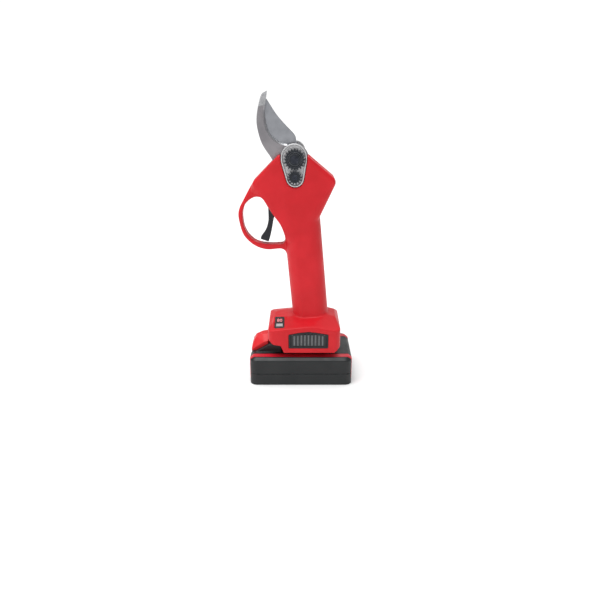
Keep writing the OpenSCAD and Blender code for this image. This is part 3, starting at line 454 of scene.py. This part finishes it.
def housing_shell():
    """Both halves as one skin with softened edges, cut along the parting plane afterwards."""
    mesh = remeshed(["housing_near", "housing_far"], 0.65, 5)
    p = points_of(mesh)
    below = pivot[2] - p[:, 2]
    centre_x = pivot[0] + below * math.tan(math.radians(GRIP_LEAN)) + GRIP_SHIFT * MM
    out = np.hypot((p[:, 0] - centre_x) / GRIP_HALF_DEPTH, p[:, 1] / GRIP_HALF_WIDTH) / MM
    foot_fillet = smoothstep(1 - np.abs(p[:, 2] - foot_top) / (9 * MM)) * smoothstep((1.75 - out) / 0.5)
    waist = smoothstep(1 - np.abs(below - WAIST_DROP * MM) / (24 * MM))
    root = smoothstep(1 - np.abs(p[:, 0] - pivot[0] + 35 * MM) / (11 * MM))
    root *= smoothstep(1 - np.abs(below - 31 * MM) / (17 * MM))
    guard = smoothstep((centre_x - 20 * MM - p[:, 0]) / (4 * MM)) * smoothstep((below - 20 * MM) / (12 * MM))
    weights = np.max([foot_fillet, waist, root * 0.9, guard * 0.4 * (below < 110 * MM)], axis=0)
    return mesh_with_modifiers(mesh, ("SMOOTH", {"factor": 0.5, "iterations": 26, "weights": weights}))


def half_shell(mesh, side):
    """One half of the skin, closed along the parting plane, with a fine groove where the halves meet."""
    bm = bmesh.new()
    bm.from_mesh(mesh)
    everything = bm.verts[:] + bm.edges[:] + bm.faces[:]
    bmesh.ops.bisect_plane(bm, geom=everything, dist=1e-7, plane_co=(0, side * 0.4 * MM, 0),
                           plane_no=(0, 1, 0))
    everything = bm.verts[:] + bm.edges[:] + bm.faces[:]
    bmesh.ops.bisect_plane(bm, geom=everything, dist=1e-7, plane_co=(0, 0, 0), plane_no=(0, -side, 0),
                           clear_outer=True)
    bm.normal_update()
    rim = [v for v in bm.verts if abs(v.co.y) < 1e-6]
    moves = [(v, v.normal.copy()) for v in rim]
    for vert, normal in moves:
        normal.y = 0
        if normal.length > 0.1:
            vert.co -= normal.normalized() * 0.22 * MM
    open_edges = [e for e in bm.edges if e.is_boundary]
    bmesh.ops.triangle_fill(bm, use_beauty=True, use_dissolve=False, edges=open_edges)
    result = bpy.data.meshes.new("half")
    bm.to_mesh(result)
    bm.free()
    result.polygons.foreach_set("use_smooth", np.ones(len(result.polygons), bool))
    result.set_sharp_from_angle(angle=math.radians(50))
    return result


shell = housing_shell()
raise_panel_pad(shell)
add_piece("housing_near_shell", half_shell(shell, -1), red, "tool", "red_shell", "housing_near")
add_piece("housing_far_shell", half_shell(shell, 1), red, "tool", "red_shell", "housing_far")
bpy.data.meshes.remove(shell)


# ---------- blades ----------

def curve_points(corners, steps=10):
    """Smooth curve through corners given from the pivot in mm, in the XZ plane."""
    c = np.array([corners[0], *corners, corners[-1]], float)
    t = np.linspace(0, 1, steps, endpoint=False)[:, None]
    found = []
    for a, b, d, e in zip(c[:-3], c[1:-2], c[2:-1], c[3:]):
        found.append(0.5 * (2 * b + (d - a) * t + (2 * a - 5 * b + 4 * d - e) * t * t
                            + (3 * b - a - 3 * d + e) * t ** 3))
    return np.vstack(found) * MM + pivot[[0, 2]]


def distance_to(line, points):
    tree = KDTree(len(line))
    for i, (x, z) in enumerate(line):
        tree.insert((x, 0, z), i)
    tree.balance()
    return np.array([tree.find((x, 0, z))[2] for x, z in points[:, [0, 2]]])


hook_edge = curve_points([(-8, 14.2), (-11, 14.4), (-15.6, 16), (-21.6, 20.4), (-26.4, 27), (-28.7, 36.4),
                          (-29.4, 44), (-28.7, 50.2), (-27.7, 56.8), (-26.7, 63.7)])
cutter_edge = curve_points([(-27.6, 56.6), (-30.6, 51.5), (-32, 44), (-31.4, 36), (-28.8, 27), (-24.6, 19.6),
                            (-18.6, 13.4), (-14, 8.5)])


def mark(mesh, values):
    attribute = mesh.attributes.new("bare_and_highlight", "FLOAT", "POINT")
    attribute.data.foreach_set("value", values.astype(np.float32))


def hook_blade():
    """Hook with a bevel ground along its inner edge and a facet ground on its tip, the bevel's bare tone
    strongest near the hub as a painted highlight.
    """
    mesh = remeshed(["hook_blade"], 0.25, 2)
    p = points_of(mesh)
    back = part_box("hook_blade")[1][1]
    from_edge = distance_to(hook_edge, p)
    bevel = np.clip(1 - from_edge / (1.5 * MM), 0, 1)
    rise = p[:, 2] - pivot[2] - 50.2 * MM - 0.25 * (p[:, 0] - pivot[0] + 31 * MM)
    facet = np.clip(rise / (9.5 * MM), 0, 1)
    thin = 1 - np.maximum(0.5 * bevel * (rise < 0), 0.66 * facet)
    # Painted highlight: the bevel's bare tone is weak far up and full towards the hub, where the lit bevel
    # shines. The ground bevel and tip are the steel's own finish.
    lower = smoothstep((36 * MM - p[:, 2] + pivot[2]) / (16 * MM))
    bare_and_highlight = np.maximum(smoothstep(bevel * 4) * (0.25 + 0.75 * lower), (rise > 0) * 0.85)
    p[:, 1] = back - (back - p[:, 1]) * thin
    set_points(mesh, p)
    mark(mesh, bare_and_highlight)
    mesh.set_sharp_from_angle(angle=math.radians(32))
    return mesh


def cutting_blade():
    """Moving blade, hollow ground on its far face towards the cutting edge."""
    mesh = remeshed(["cutting_blade"], 0.25, 3)
    p = points_of(mesh)
    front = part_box("cutting_blade")[0][1]
    hollow = np.clip(1 - distance_to(cutter_edge, p) / (9 * MM), 0, 1)
    above = smoothstep((p[:, 2] - pivot[2] - 9 * MM) / (5 * MM))
    thin = 1 - 0.86 * hollow * hollow * above
    p[:, 1] = front + (p[:, 1] - front) * thin
    set_points(mesh, p)
    mark(mesh, smoothstep(hollow * 3 - 0.4) * above * (p[:, 1] > front + 0.3 * MM))
    mesh.set_sharp_from_angle(angle=math.radians(32))
    return mesh


add_piece("hook_blade_ground", hook_blade(), hook_steel, "tool", "blade_steel", "hook_blade")
add_piece("cutting_blade_ground", cutting_blade(), cutter_steel, "blade", "blade_steel", "cutting_blade")

# ---------- head fittings ----------

add_piece("cover_plate_cast", remeshed(["cover_plate"], 0.3, 4), aluminium, "tool", "aluminium", "cover_plate")
add_piece("gear_case_cast", remeshed(["gear_case"], 0.4, 3), aluminium, "tool", "aluminium", "gear_case")
add_piece("adjusting_nut_worn", remeshed(["adjusting_nut"], 0.16, 2), oxide_worn, "tool", "black_oxide",
          "adjusting_nut")
add_piece("lock_gear_worn", remeshed(["lock_gear"], 0.14, 2), oxide_worn, "tool", "black_oxide", "lock_gear")
add_piece("trigger_lever", remeshed(["trigger"], 0.35, 9), trigger_black, "trigger", "black_plastic",
          "trigger")


# ---------- display ----------

window_mid = Vector(np.mean(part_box("display_window"), axis=0))

SEGMENTS = {"a": (0, 1, 0), "b": (0.5, 0.5, 1), "c": (0.5, -0.5, 1), "d": (0, -1, 0),
            "e": (-0.5, -0.5, 1), "f": (-0.5, 0.5, 1), "g": (0, 0, 0)}
DIGITS = {"8": "abcdefg", "0": "abcdef"}


def digits_mesh(text, digit_w, digit_h):
    """Seven-segment digits standing just proud of the window."""
    bm = bmesh.new()
    stroke, pitch = 0.46 * MM, digit_w * 1.7
    face = window_mid + panel_out * (1.08 * MM)
    for i, digit in enumerate(text):
        shift = (i - (len(text) - 1) / 2) * pitch
        for name in DIGITS[digit]:
            across, up, upright = SEGMENTS[name]
            length = (digit_h / 2 if upright else digit_w) - stroke * 0.5
            half = Vector((stroke / 2, length / 2)) if upright else Vector((length / 2, stroke / 2))
            centre = Vector((shift + across * digit_w, up * digit_h / 2))
            corners = []
            for sx, sy, sz in ((-1, -1, 0), (1, -1, 0), (1, 1, 0), (-1, 1, 0),
                               (-1, -1, 1), (1, -1, 1), (1, 1, 1), (-1, 1, 1)):
                at = face + Vector((centre.x + sx * half.x, 0, 0)) + panel_up * (centre.y + sy * half.y)
                corners.append(bm.verts.new(at + panel_out * (sz * 0.12 * MM)))
            for quad in ((3, 2, 1, 0), (4, 5, 6, 7), (0, 1, 5, 4), (1, 2, 6, 5), (2, 3, 7, 6), (3, 0, 4, 7)):
                bm.faces.new([corners[k] for k in quad])
    mesh = bpy.data.meshes.new("digits")
    bm.to_mesh(mesh)
    bm.free()
    return mesh


add_piece("display_digits", digits_mesh("80", 1.7 * MM, 3.4 * MM), lit, "tool", "window")

# ---------- battery pack ----------

def vent(name):
    """Vent insert with its ribs marked for the painted highlight."""
    mesh = remeshed([name], 0.3, 2)
    p = points_of(mesh)
    low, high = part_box(name)
    middle = (low[0] + high[0]) / 2
    face = max(abs(low[1]), abs(high[1]))
    raised = smoothstep((np.abs(p[:, 1]) - face + 1.1 * MM) / (0.5 * MM))
    inside = np.abs(p[:, 0] - middle) < (high[0] - low[0]) / 2 - 3.4 * MM
    inside &= (p[:, 2] > low[2] + 2.4 * MM) & (p[:, 2] < high[2] - 3.6 * MM)
    mark(mesh, raised * inside)
    return mesh


for side in ("near", "far"):
    add_piece(f"vent_{side}_moulded", vent(f"vent_{side}"), vent_black, "tool", "black_plastic",
              f"vent_{side}")
add_piece("pack_upper_moulded", remeshed(["pack_upper_case"], 0.6, 3), black, "battery", "black_plastic",
          "pack_upper_case")
add_piece("pack_lower_moulded", remeshed(["pack_lower_case"], 0.6, 3), black, "battery", "black_plastic",
          "pack_lower_case")
add_piece("release_wedge", remeshed(["release_button"], 0.5, 6), red_button, "release", "red_button",
          "release_button")

# ---------- finishes on the CAD nodes that stay ----------

FINISHES = {
    oxide: ["housing_screws", "hook_screws", "pivot_bolt", "lock_screw", "motor_can", "power_parts",
            "charge_socket", "pack_screws"],
    gear_steel: ["crown_gear", "drive_pinion", "planet_carrier", "planet_gear_1", "planet_gear_2",
                 "planet_gear_3", "ring_gear", "sun_gear"],
    bright: ["crown_rivets", "output_bearings", "trigger_pin", "trigger_spring",
             "release_springs", "trigger_magnet"],
    bronze: ["blade_bush", "thrust_washer"],
    copper: ["motor_rotor", "terminal_blades", "pack_contacts"],
    black: ["motor_end_cap", "display_bezel", "terminal_block", "battery_leads"],
    grey: ["cell_holder"],
    board: ["sensor_board", "control_board", "display_board", "pack_board"],
    lead_red: ["motor_leads"],
    window: ["display_window"],
    button_grey: ["power_button"],
    red_stripe: ["pack_stripes"],
    cell_wrap: ["battery_cells"],
}
BEVELS = {
    "pivot_bolt": 0.3, "lock_screw": 0.15, "display_bezel": 0.25,
    "power_button": 0.25, "pack_stripes": 0.2,
}
for material, names in FINISHES.items():
    for name in names:
        node = nodes[name]
        for slot in node.material_slots:
            slot.material = material
        if name in BEVELS:
            bevel = node.modifiers.new("soft_edges", "BEVEL")
            bevel.width = BEVELS[name] * MM
            bevel.segments = 2
            bevel.limit_method = "ANGLE"
            bevel.angle_limit = math.radians(35)
